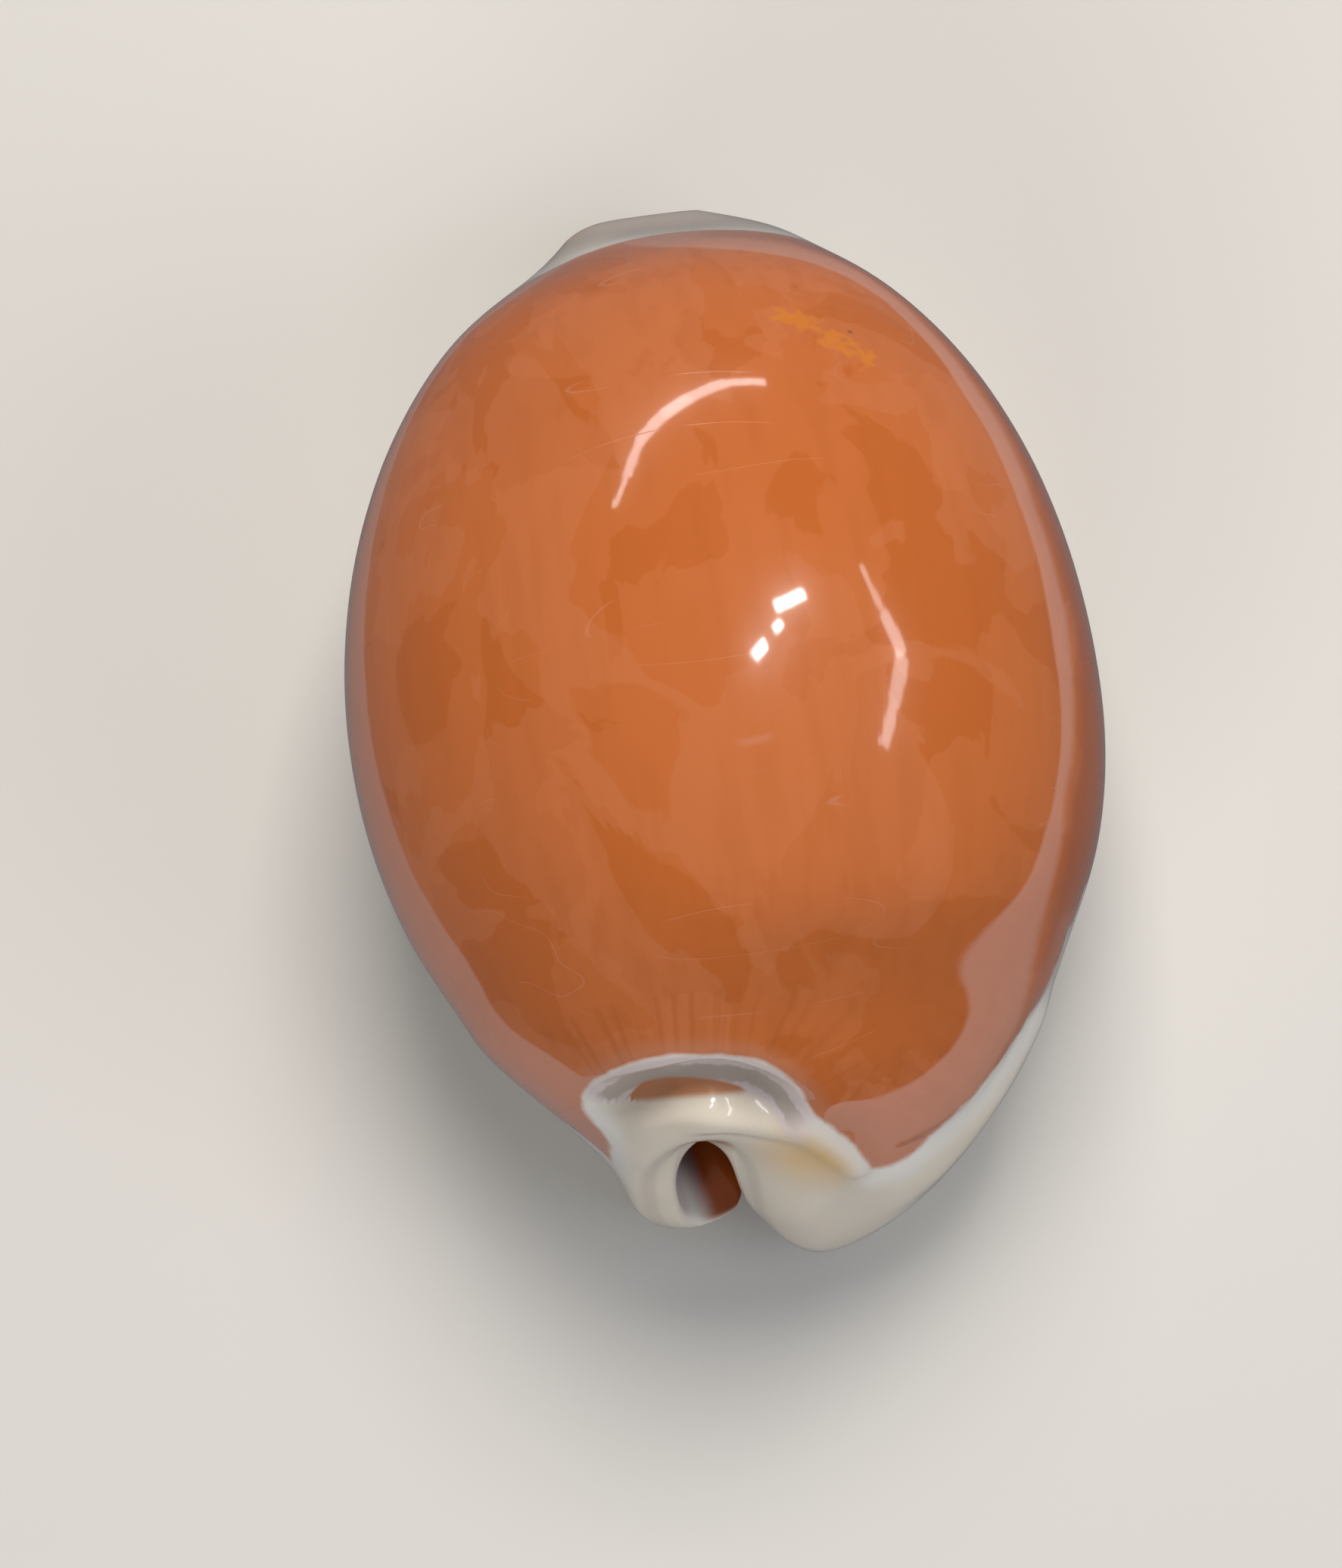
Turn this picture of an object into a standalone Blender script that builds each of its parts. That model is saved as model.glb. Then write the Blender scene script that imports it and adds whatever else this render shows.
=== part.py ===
"""Golden cowrie: one whole shell, hollow, with a toothed slot along its underside.

+Y is the front canal end, -Y the spire end, +X the outer lip, +Z the back. The shell rests on
its two lips at z = 0. The form is worked out in millimetres and turned into metres at the end.
"""

import bpy
import numpy as np

MM = 0.001
NODE = "cowrie_shell"

# Size of the body, in millimetres
HALF_WIDTH = 32.6
HALF_LENGTH = 41.5          # of the egg, without the canals
BACK_HEIGHT = 32.5          # of the back above the widest line
SIDE_HEIGHT = 20.5          # of the widest line above the base
WALL = 3.5
SLOT_HALF = 6.6             # between the middle of the slot and the edge of the base
LIP_DEPTH = 7.0             # how far the lips reach up into the shell
BELLY = (1.52, 1.72)        # how far the base bulges down left and right of the slot
BELLY_FROM_SLOT = 7.5
FLAT_DEPTH = 0.18           # worn off the lowest part of the base

# Guide rows: left lip, left side, top, right side, right lip, and how full the left and
# the right shoulder are, 2 being round. Posterior rows start at the rim of the notch.
OUTER_POSTERIOR = (
    ((-8.1, -42.1, 4.2), (-11.0, -41.1, 12.5), (-7.5, -37.9, 24.6),
     (-4.3, -40.6, 14.0), (0.4, -44.7, 4.5), 2.4, 2.3),
    ((-10.0, -41.5, 1.8), (-13.9, -40.7, 11.0), (-7.3, -38.5, 28.6),
     (0.7, -44.7, 12.0), (2.0, -43.8, 1.8), 2.0, 2.4),
    ((-9.4, -38.6, 0.8), (-15.2, -37.4, 13.5), (-6.9, -37.2, 32.8),
     (9.8, -43.0, 12.0), (2.8, -40.1, 0.6), 2.1, 2.5),
    ((-8.6, -34.6, 0.3), (-18.8, -33.4, 17.0), (-6.2, -33.8, 36.8),
     (17.8, -37.0, 13.0), (3.2, -35.6, 0.3), 2.0, 2.2),
    ((-7.2, -30.0, 0.2), (-24.3, -27.6, 18.5), (-5.0, -29.4, 41.0),
     (22.9, -30.2, 15.5), (3.8, -30.4, 0.2), 2.0, 2.0),
)
OUTER_ANTERIOR = (
    ((-8.2, 38.0, 0.5), (-14.6, 39.6, 12.5), (0.4, 39.4, 26.9),
     (14.6, 40.0, 12.5), (5.0, 38.0, 0.5), 2.0, 2.0),
    ((-9.2, 43.0, 1.6), (-11.4, 42.6, 9.4), (-3.0, 43.2, 17.8),
     (10.6, 44.2, 9.8), (2.2, 43.2, 1.6), 2.0, 2.0),
    ((-9.2, 44.6, 4.0), (-9.3, 44.5, 8.4), (-3.8, 46.3, 12.2),
     (4.6, 46.7, 9.2), (-2.2, 46.6, 4.2), 2.0, 2.2),
)
INNER_POSTERIOR = (
    ((-5.6, -40.0, 5.6), (-10.1, -38.6, 13.0), (-7.0, -35.9, 20.6),
     (-3.2, -38.0, 12.5), (-0.9, -41.4, 5.8), 2.3, 2.2),
    ((-5.9, -38.4, 6.5), (-10.4, -36.2, 13.5), (-6.7, -33.9, 22.8),
     (-1.8, -36.4, 13.0), (0.2, -39.2, 6.4), 2.0, 2.0),
    ((-6.8, -35.8, 7.0), (-12.2, -33.2, 14.5), (-6.4, -31.2, 26.0),
     (6.0, -34.4, 14.0), (1.6, -36.4, 6.8), 2.0, 2.0),
    ((-7.2, -32.4, 7.2), (-17.0, -29.0, 17.0), (-6.0, -28.4, 31.5),
     (14.6, -30.2, 15.0), (2.8, -33.0, 7.0), 2.0, 2.0),
    ((-6.9, -28.6, 7.2), (-21.4, -24.6, 19.0), (-5.0, -24.8, 37.0),
     (20.4, -25.6, 17.5), (3.8, -28.8, 7.0), 2.0, 2.0),
)
INNER_ANTERIOR = (
    ((-7.2, 36.6, 6.6), (-10.8, 36.6, 13.5), (-0.8, 36.2, 22.2),
     (10.0, 36.6, 13.5), (4.2, 36.6, 6.6), 2.0, 2.0),
    ((-7.0, 40.2, 6.4), (-8.2, 40.4, 10.0), (-3.4, 40.4, 15.2),
     (2.6, 40.8, 10.0), (1.2, 40.6, 6.4), 2.0, 2.0),
    ((-7.1, 42.2, 6.4), (-7.4, 42.2, 8.2), (-4.6, 42.0, 10.6),
     (-1.6, 42.8, 8.6), (-1.8, 42.8, 6.4), 2.0, 2.0),
)
MIDDLE_ROWS = 11            # rows between the posterior and the anterior guides
QUARTER = 4                 # guide points in a quarter of a row

# Grooves and ridges: the line they follow, how wide to each side, how high, and the
# share of the line over which each end fades
SPIRE_PIT = (
    (
        (-17.2, -35.6, 25.0), (-13.4, -34.8, 31.5), (-6.5, -34.9, 35.4), (-1.2, -36.8, 33.0),
        (2.8, -39.2, 28.8),
    ),
    3.6, -3.6, 0.3,
)
CREST = (
    (
        (-9.7, -37.6, 31.0), (-5.3, -38.0, 32.0), (-1.1, -39.0, 31.0), (2.0, -40.6, 28.0),
        (4.4, -42.0, 24.5), (6.2, -43.2, 21.0), (7.4, -43.9, 18.6),
    ),
    2.8, 0.85, 0.16,
)
CALLUS_EDGE = (
    (
        (3.2, -38.6, 31.0), (5.8, -40.0, 27.5), (7.6, -41.4, 23.5), (8.8, -42.4, 20.2),
        (10.6, -41.4, 18.6), (15.5, -37.6, 17.5), (19.2, -34.2, 17.5), (22.2, -31.5, 18.0),
        (24.8, -27.6, 18.5),
    ),
    3.0, -0.6, 0.15,
)
MARGIN = (
    (
        (3.0, -45.0, 10.0), (12.3, -42.4, 12.0), (18.5, -37.0, 13.5), (22.8, -31.3, 14.5),
        (25.2, -27.3, 15.5),
    ),
    3.6, 0.3, 0.2,
)

# Teeth of each lip: first and last y, how many, height, reach on the base and up the lip
OUTER_LIP_TEETH = (-36.0, 41.0, 27, 1.1, 3.6, 0.85)
INNER_LIP_TEETH = (-35.0, 40.0, 24, 0.9, 1.4, 1.0)

# Fineness
ROWS = 240
COLUMNS = 150
ROLL = 14                   # steps round the edge of a lip
TRIANGLES = 9400

SHELL_COLOUR = (0.60, 0.155, 0.030, 1.0)


def rise(x, low, high):
    """Smooth step from 0 at low to 1 at high."""
    t = np.clip((x - low) / (high - low), 0, 1)
    return t * t * (3 - 2 * t)


def unit(v):
    return v / np.maximum(np.linalg.norm(v, axis=-1, keepdims=True), 1e-12)


def slot_centre(y):
    """The slot bows to the right at mid-length and turns left at both ends."""
    return 2.6 - 5.0 * np.clip((-y - 8) / 34, 0, 1.3) ** 2 - 7.0 * np.clip((y - 10) / 34, 0, 1.2) ** 2


def body_row(c, inset, lip_z, lip_half):
    """Guide points of one row of the egg, c running from -1 behind to 1 in front."""
    y = 0.2 + (HALF_LENGTH - 0.7 * inset) * c + 1.8 * c * c
    round_off = np.sqrt(1 - c * c)
    half = (HALF_WIDTH - inset) * round_off
    lean = 0.0 if inset else 1 - 0.028 * rise(c, -0.5, 0.2)
    right = half if inset else (half + 0.15) * lean
    side = SIDE_HEIGHT + 0.08 * inset - 3.0 * c * c
    top = SIDE_HEIGHT + 0.08 * inset - 5.2 * c * c * (c > 0)
    top += (BACK_HEIGHT - inset) * round_off ** (1.02 + 0.1 * c)
    middle = -0.4 if inset else 0.8 * (c - 0.1) - 0.4
    centre = slot_centre(y)
    left_lip = (centre - lip_half, y, lip_z(y))
    right_lip = (centre + lip_half, y, lip_z(y))
    return left_lip, (-half, y, side), (middle, y, top), (right, y, side), right_lip, 2.0, 2.0


def outer_row(c):
    return body_row(c, 0.0, lambda y: 0.0004 * y * y, SLOT_HALF)


def inner_row(c):
    return body_row(c, WALL, lambda y: LIP_DEPTH, SLOT_HALF - 0.2)


def quarter(start, corner, end, full):
    """Points along a quarter of a superellipse, from start towards end, without the end."""
    a = np.linspace(0, np.pi / 2, QUARTER, endpoint=False)[:, None]
    start, corner, end = (np.asarray(p, float) for p in (start, corner, end))
    from_start, from_end = np.sin(a) ** (2 / full), np.cos(a) ** (2 / full)
    return corner + (start - corner) * (1 - from_start) + (end - corner) * (1 - from_end)


def ring(left_lip, left_side, top, right_side, right_lip, left_full, right_full):
    """One row, from the left lip under the side, over the back and down to the right lip."""

    def corners(side, lip):
        lean = (top[1] - side[1]) / (top[2] - side[2])
        return (side[0], top[1], top[2]), (side[0], side[1] - lean * (side[2] - lip[2]), lip[2])

    up_left, low_left = corners(left_side, left_lip)
    up_right, low_right = corners(right_side, right_lip)
    return np.concatenate([
        quarter(left_lip, low_left, left_side, 2.3),
        quarter(left_side, up_left, top, left_full),
        quarter(top, up_right, right_side, right_full),
        quarter(right_side, low_right, right_lip, 2.3),
        [right_lip],
    ])


def net(posterior, row, anterior, first, last):
    middle = [row(c) for c in np.linspace(first, last, MIDDLE_ROWS)]
    return np.array([ring(*guide) for guide in [*posterior, *middle, *anterior]])


def fair(points):
    """Control points whose smooth line passes close to the given ones."""
    out = points.copy()
    out[1:-1] -= (points[:-2] - 2 * points[1:-1] + points[2:]) / 6
    return out


def spline(points, at):
    """Even cubic B-spline along the first axis, through its end points."""
    ahead, behind = 2 * points[0] - points[1], 2 * points[-1] - points[-2]
    points = np.concatenate([[ahead], points, [behind]])
    i = np.minimum(at.astype(int), len(points) - 4)
    f = (at - i).reshape((-1,) + (1,) * (points.ndim - 1))
    w = ((1 - f) ** 3, 3 * f**3 - 6 * f**2 + 4, -3 * f**3 + 3 * f**2 + 3 * f + 1, f**3)
    return sum(w[k] * points[i + k] for k in range(4)) / 6


def sheet(grid, rows, columns):
    """Smooth sheet on a net of guide points, at the given row and column places."""
    done = spline(fair(grid), rows)
    done = spline(fair(np.swapaxes(done, 0, 1)), columns)
    return np.swapaxes(done, 0, 1)


def spaced(last, count, weight):
    """Places from 0 to last, closer together where weight is larger."""
    fine = np.linspace(0, last, 2001)
    w = weight(fine)
    total = np.concatenate([[0], np.cumsum((w[1:] + w[:-1]) / 2)])
    return np.interp(np.linspace(0, total[-1], count), total, fine)


def row_places(last):
    """Even steps along the slot, finer round the notch and the front canal."""
    dense = np.interp(np.arange(last + 1), [0, 1, 3, 5, last - 3, last - 1, last], [9, 12, 15, 16, 16, 10, 7])
    return spaced(last, ROWS, lambda u: np.interp(u, np.arange(last + 1), dense))


def column_places(last):
    """Finer at the lips and along the back."""

    def weight(v):
        lips = np.exp(-((v / 1.5) ** 2)) + np.exp(-(((last - v) / 1.5) ** 2))
        return 0.8 + 1.4 * lips + 0.5 * np.exp(-(((v - last / 2) / 3) ** 2))

    return spaced(last, COLUMNS, weight)


def sheet_normals(p, up):
    """Normals of a sheet of points, the one in the middle facing up or down."""
    n = unit(np.cross(np.gradient(p, axis=1), np.gradient(p, axis=0)))
    return n * np.sign(n[ROWS // 2, COLUMNS // 2, 2]) * up


def line_distance(points, line):
    """Distance of each point from a line of short segments, and the share along it."""
    best = np.full(len(points), np.inf)
    place = np.zeros(len(points))
    for k in range(len(line) - 1):
        a, d = line[k], line[k + 1] - line[k]
        t = np.clip(((points - a) @ d) / (d @ d), 0, 1)
        gap = np.linalg.norm(points - (a + t[:, None] * d), axis=1)
        near = gap < best
        best[near] = gap[near]
        place[near] = (k + t[near]) / (len(line) - 1)
    return best, place


def stroke(points, normals, stops, radius, height, fade):
    """Push a sheet in or out along a smooth line, whose stops are first put on the sheet."""
    flat = points.reshape(-1, 3)
    stops = np.array([flat[np.linalg.norm(flat - stop, axis=1).argmin()] for stop in stops])
    line = spline(fair(stops), np.linspace(0, len(stops) - 1, 40))
    distance, place = line_distance(flat, line)
    push = np.clip(1 - (distance / radius) ** 2, 0, None) ** 3
    push *= height * rise(np.minimum(place, 1 - place), 0, fade)
    return points + normals * push.reshape(points.shape[:2] + (1,))


def belly(points):
    """Bulge the base down a little beside the slot, less towards the ends."""
    out = points.copy()
    for column, bulge in zip((0, -1), BELLY):
        off = np.linalg.norm(points - points[:, [column]], axis=2)
        low = rise(-points[:, :, 2], -6, -2) * np.exp(-(((off - BELLY_FROM_SLOT) / 5) ** 2))
        out[:, :, 2] -= bulge * low * (1 - rise(np.abs(points[:, :, 1]), 24, 38))
    return out


def border():
    """Row and column of the points round the edge of a sheet."""
    r, c = np.arange(ROWS), np.arange(COLUMNS)
    rows = [r, np.full(COLUMNS - 1, ROWS - 1), r[-2::-1], np.zeros(COLUMNS - 2, int)]
    columns = [np.zeros(ROWS, int), c[1:], np.full(ROWS - 1, COLUMNS - 1), c[-2:0:-1]]
    return np.concatenate(rows), np.concatenate(columns)


def edge_directions(points, normals, r, c):
    """Direction off the sheet at each point of its edge, evened out along the edge."""
    edge = points[r, c]
    off = unit(np.cross(normals[r, c], np.roll(edge, -1, 0) - np.roll(edge, 1, 0)))
    inside = points[np.clip(r, 2, ROWS - 3), np.clip(c, 2, COLUMNS - 3)]
    off *= np.sign(((edge - inside) * off).sum(1).mean())
    for _ in range(80):
        off = (np.roll(off, 1, 0) + 2 * off + np.roll(off, -1, 0)) / 4
    return unit(off)


def rolled_edge(outer, outer_off, inner, inner_off):
    """Rings of points that carry the outer sheet round the edge into the inner one."""
    reach = 0.6 * np.linalg.norm(inner - outer, axis=1)[:, None]
    rings = []
    for x in np.linspace(0, 1, ROLL + 2)[1:-1]:
        w = ((1 - x) ** 3, 3 * x * (1 - x) ** 2, 3 * x * x * (1 - x), x**3)
        start = w[0] * outer + w[1] * (outer + outer_off * reach)
        rings.append(start + w[2] * (inner + inner_off * reach) + w[3] * inner)
    return np.array(rings)


def faces(index, flip):
    """Four-sided faces of a grid of point numbers."""
    q = np.stack([index[:-1, :-1], index[:-1, 1:], index[1:, 1:], index[1:, :-1]], -1).reshape(-1, 4)
    return q[:, ::-1] if flip else q


def point_normals(points, quads):
    a, b, c, d = (points[quads[:, k]] for k in range(4))
    n = np.cross(c - a, d - b)
    total = np.zeros_like(points)
    for k in range(4):
        for axis in range(3):
            total[:, axis] += np.bincount(quads[:, k], n[:, axis], len(points))
    return unit(total)


def tooth_rise(y, first, last, count, height):
    """Height of the teeth and of the furrows between them at y."""
    turn = (y - first) / (last - first) * count
    ridge = (0.5 - 0.5 * np.cos(2 * np.pi * turn)) ** 1.4
    return height * (ridge - 0.62) * rise(y, first, first + 5) * rise(-y, -last, -last + 5)


def teeth(outer, outer_index, loops, r, c):
    """How far each point moves along its normal to make the teeth of both lips."""
    push = np.zeros(loops.max() + 1)
    along = np.linspace(0, 1, len(loops))[:, None]
    for lip, column, step in ((INNER_LIP_TEETH, 0, 1), (OUTER_LIP_TEETH, COLUMNS - 1, -1)):
        *rule, reach, depth = lip
        on = np.nonzero(c == column)[0]
        rows = r[on]
        tooth = tooth_rise(outer[rows, column, 1], *rule)
        push[loops[:, on]] = tooth * (1 - rise(along, depth - 0.35, depth + 0.15))
        for k in range(1, 40):
            away = np.linalg.norm(outer[rows, column + step * k] - outer[rows, column], axis=1)
            push[outer_index[rows, column + step * k]] = tooth * (1 - rise(away, 0.2 * reach, reach))
    return push


def centred(points):
    """Move the shell so that its box is centred over the origin and its flats lie at z = 0."""
    low, high = points.min(0), points.max(0)
    return points - ((low[0] + high[0]) / 2, (low[1] + high[1]) / 2, low[2] + FLAT_DEPTH)


def shell_form():
    """Points and faces of the whole shell, in millimetres."""
    outer_net = net(OUTER_POSTERIOR, outer_row, OUTER_ANTERIOR, -0.60, 0.80)
    inner_net = net(INNER_POSTERIOR, inner_row, INNER_ANTERIOR, -0.56, 0.80)
    rows = row_places(outer_net.shape[0] - 1)
    columns = column_places(outer_net.shape[1] - 1)
    outer, inner = sheet(outer_net, rows, columns), sheet(inner_net, rows, columns)
    normals = sheet_normals(outer, 1)
    outer = belly(outer)
    for groove in (CALLUS_EDGE, SPIRE_PIT, CREST, MARGIN):
        outer = stroke(outer, normals, *groove)
    r, c = border()
    outer_off = edge_directions(outer, normals, r, c)
    inner_off = edge_directions(inner, sheet_normals(inner, 1), r, c)
    band = rolled_edge(outer[r, c], outer_off, inner[r, c], inner_off)
    points = np.concatenate([part.reshape(-1, 3) for part in (outer, inner, band)])
    size = ROWS * COLUMNS
    outer_index = np.arange(size).reshape(ROWS, COLUMNS)
    inner_index = outer_index + size
    between = 2 * size + np.arange(ROLL * len(r)).reshape(ROLL, len(r))
    loops = np.concatenate([outer_index[r, c][None], between, inner_index[r, c][None]])
    closed = np.concatenate([loops, loops[:, :1]], 1)
    quads = np.concatenate([faces(outer_index, False), faces(inner_index, True), faces(closed, False)])
    along_normal = point_normals(points, quads)
    if along_normal[outer_index[ROWS // 2, COLUMNS // 2], 2] < 0:
        along_normal = -along_normal
        quads = quads[:, ::-1]
    push = teeth(outer, outer_index, loops, r, c)
    points[: len(push)] += along_normal[: len(push)] * push[:, None]
    return centred(points), quads


def shell_material():
    material = bpy.data.materials.new("orange shell")
    material.use_nodes = True
    shader = material.node_tree.nodes["Principled BSDF"]
    shader.inputs["Base Color"].default_value = SHELL_COLOUR
    shader.inputs["Roughness"].default_value = 0.18
    shader.inputs["Metallic"].default_value = 0.0
    return material


def add_shell():
    points, quads = shell_form()
    mesh = bpy.data.meshes.new(NODE)
    mesh.from_pydata((points * MM).tolist(), [], quads.tolist())
    mesh.update()
    mesh.shade_smooth()
    mesh.materials.append(shell_material())
    shell = bpy.data.objects.new(NODE, mesh)
    bpy.context.scene.collection.objects.link(shell)
    return shell


def thin_out(shell):
    """Fewer and larger facets where the shell is smooth."""
    fewer = shell.modifiers.new("fewer facets", "DECIMATE")
    fewer.ratio = TRIANGLES / (2 * len(shell.data.polygons))


def cut_flats(shell):
    """Take off the lowest part of both lips, so that the shell rests on real flats."""
    bpy.ops.mesh.primitive_cube_add(size=1, location=(0, 0, -5 * MM))
    block = bpy.context.object
    block.name = "flat_cutter"
    block.scale = (80 * MM, 110 * MM, 10 * MM)
    block.hide_render = True
    block.display_type = "WIRE"
    cut = shell.modifiers.new("flats", "BOOLEAN")
    cut.operation = "DIFFERENCE"
    cut.solver = "EXACT"
    cut.object = block


def main():
    for old in list(bpy.data.objects):
        bpy.data.objects.remove(old)
    shell = add_shell()
    thin_out(shell)
    cut_flats(shell)


if __name__ == "__main__":
    main()
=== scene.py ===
"""Golden cowrie, dressed: the fine shell surface with its colours, on a pale studio floor."""

import math

import bpy
import numpy as np
from mathutils import Matrix, Vector


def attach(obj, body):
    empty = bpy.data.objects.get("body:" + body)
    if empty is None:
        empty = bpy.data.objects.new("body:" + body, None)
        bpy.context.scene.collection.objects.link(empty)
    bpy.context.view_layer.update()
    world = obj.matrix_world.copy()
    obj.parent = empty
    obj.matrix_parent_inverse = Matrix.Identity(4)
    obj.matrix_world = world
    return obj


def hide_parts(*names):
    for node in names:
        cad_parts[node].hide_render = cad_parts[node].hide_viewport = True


bl_info = {
    "name": "Golden cowrie",
    "version": (1, 0, 0),
    "blender": (4, 5, 0),
    "location": "View3D > Sidebar > Cowrie",
    "description": "Models a polished cowrie shell with its toothed slot, canals and studio stage",
    "category": "Object",
}

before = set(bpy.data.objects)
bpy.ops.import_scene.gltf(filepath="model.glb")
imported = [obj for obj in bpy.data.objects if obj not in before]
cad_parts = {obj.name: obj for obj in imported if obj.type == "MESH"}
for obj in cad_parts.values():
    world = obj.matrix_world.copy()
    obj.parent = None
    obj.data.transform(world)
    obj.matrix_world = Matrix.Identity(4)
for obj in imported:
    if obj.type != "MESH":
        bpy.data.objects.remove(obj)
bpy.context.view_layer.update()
MM = 0.001
NODE = "cowrie_shell"

# The form, in millimetres, as in the solid: +Y front canal, -Y spire end, +X outer lip, +Z back
HALF_WIDTH = 32.6
HALF_LENGTH = 41.5
BACK_HEIGHT = 32.5
SIDE_HEIGHT = 20.5
WALL = 3.5
SLOT_HALF = 6.6
LIP_DEPTH = 7.0
BELLY = (1.52, 1.72)
BELLY_FROM_SLOT = 7.5
FLAT_DEPTH = 0.18
EGG_MIDDLE = 0.2            # y of the egg's middle
ENDS_FORWARD = 1.8          # how much further forward both of its ends lie
END_INSET = 0.7             # how much of the wall the lining stays short of the ends
INNER_RISE = 0.08           # how much of the wall the lining's sides lie higher
SIDE_DROP = 3.0             # how much lower the widest line lies at both ends
FRONT_DROP = 5.2            # how much lower the top of the back ends in front
BACK_COURSE = (1.02, 0.1)   # power of the back's course: at mid-length, and what it gains forwards
TOP_X = -0.4                # where the top of the back lies, which leans to the right forwards
TOP_LEAN = 0.8
RIGHT_SWELL = 0.15          # how much wider the right side is, and the share it narrows forwards
RIGHT_NARROWING = 0.028
LOW_FULL = 2.3              # how full the curve from each side to the base is, 2 being round
SLOT_X = 2.6                # the slot's middle at mid-length
# How the slot turns left behind and in front: from which y, over what length, how far, and how
# many of those lengths it goes on for
SLOT_TURNS = ((-8, -34, 5.0, 1.3), (10, 34, 7.0, 1.2))

# Guide rows: left lip, left side, top, right side, right lip, and how full the left and
# the right shoulder are, 2 being round. Posterior rows start at the rim of the notch.
OUTER_POSTERIOR = (
    ((-8.1, -42.1, 4.2), (-11.0, -41.1, 12.5), (-7.5, -37.9, 24.6),
     (-4.3, -40.6, 14.0), (0.4, -44.7, 4.5), 2.4, 2.3),
    ((-10.0, -41.5, 1.8), (-13.9, -40.7, 11.0), (-7.3, -38.5, 28.6),
     (0.7, -44.7, 12.0), (2.0, -43.8, 1.8), 2.0, 2.4),
    ((-9.4, -38.6, 0.8), (-15.2, -37.4, 13.5), (-6.9, -37.2, 32.8),
     (9.8, -43.0, 12.0), (2.8, -40.1, 0.6), 2.1, 2.5),
    ((-8.6, -34.6, 0.3), (-18.8, -33.4, 17.0), (-6.2, -33.8, 36.8),
     (17.8, -37.0, 13.0), (3.2, -35.6, 0.3), 2.0, 2.2),
    ((-7.2, -30.0, 0.2), (-24.3, -27.6, 18.5), (-5.0, -29.4, 41.0),
     (22.9, -30.2, 15.5), (3.8, -30.4, 0.2), 2.0, 2.0),
)
OUTER_ANTERIOR = (
    ((-8.2, 38.0, 0.5), (-14.6, 39.6, 12.5), (0.4, 39.4, 26.9),
     (14.6, 40.0, 12.5), (5.0, 38.0, 0.5), 2.0, 2.0),
    ((-9.2, 43.0, 1.6), (-11.4, 42.6, 9.4), (-3.0, 43.2, 17.8),
     (10.6, 44.2, 9.8), (2.2, 43.2, 1.6), 2.0, 2.0),
    ((-9.2, 44.6, 4.0), (-9.3, 44.5, 8.4), (-3.8, 46.3, 12.2),
     (4.6, 46.7, 9.2), (-2.2, 46.6, 4.2), 2.0, 2.2),
)
INNER_POSTERIOR = (
    ((-5.6, -40.0, 5.6), (-10.1, -38.6, 13.0), (-7.0, -35.9, 20.6),
     (-3.2, -38.0, 12.5), (-0.9, -41.4, 5.8), 2.3, 2.2),
    ((-5.9, -38.4, 6.5), (-10.4, -36.2, 13.5), (-6.7, -33.9, 22.8),
     (-1.8, -36.4, 13.0), (0.2, -39.2, 6.4), 2.0, 2.0),
    ((-6.8, -35.8, 7.0), (-12.2, -33.2, 14.5), (-6.4, -31.2, 26.0),
     (6.0, -34.4, 14.0), (1.6, -36.4, 6.8), 2.0, 2.0),
    ((-7.2, -32.4, 7.2), (-17.0, -29.0, 17.0), (-6.0, -28.4, 31.5),
     (14.6, -30.2, 15.0), (2.8, -33.0, 7.0), 2.0, 2.0),
    ((-6.9, -28.6, 7.2), (-21.4, -24.6, 19.0), (-5.0, -24.8, 37.0),
     (20.4, -25.6, 17.5), (3.8, -28.8, 7.0), 2.0, 2.0),
)
INNER_ANTERIOR = (
    ((-7.2, 36.6, 6.6), (-10.8, 36.6, 13.5), (-0.8, 36.2, 22.2),
     (10.0, 36.6, 13.5), (4.2, 36.6, 6.6), 2.0, 2.0),
    ((-7.0, 40.2, 6.4), (-8.2, 40.4, 10.0), (-3.4, 40.4, 15.2),
     (2.6, 40.8, 10.0), (1.2, 40.6, 6.4), 2.0, 2.0),
    ((-7.1, 42.2, 6.4), (-7.4, 42.2, 8.2), (-4.6, 42.0, 10.6),
     (-1.6, 42.8, 8.6), (-1.8, 42.8, 6.4), 2.0, 2.0),
)
MIDDLE_ROWS = 11            # rows between the posterior and the anterior guides
QUARTER = 4                 # guide points in a quarter of a row

# Grooves and ridges: the line they follow, how wide to each side, how high, and the
# share of the line over which each end fades
SPIRE_PIT = (
    (
        (-17.2, -35.6, 25.0), (-13.4, -34.8, 31.5), (-6.5, -34.9, 35.4), (-1.2, -36.8, 33.0),
        (2.8, -39.2, 28.8),
    ),
    3.6, -3.6, 0.3,
)
CREST = (
    (
        (-9.7, -37.6, 31.0), (-5.3, -38.0, 32.0), (-1.1, -39.0, 31.0), (2.0, -40.6, 28.0),
        (4.4, -42.0, 24.5), (6.2, -43.2, 21.0), (7.4, -43.9, 18.6),
    ),
    2.8, 0.85, 0.16,
)
CALLUS_EDGE = (
    (
        (3.2, -38.6, 31.0), (5.8, -40.0, 27.5), (7.6, -41.4, 23.5), (8.8, -42.4, 20.2),
        (10.6, -41.4, 18.6), (15.5, -37.6, 17.5), (19.2, -34.2, 17.5), (22.2, -31.5, 18.0),
        (24.8, -27.6, 18.5),
    ),
    3.0, -0.6, 0.15,
)
MARGIN = (
    (
        (3.0, -45.0, 10.0), (12.3, -42.4, 12.0), (18.5, -37.0, 13.5), (22.8, -31.3, 14.5),
        (25.2, -27.3, 15.5),
    ),
    3.6, 0.3, 0.2,
)

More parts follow.
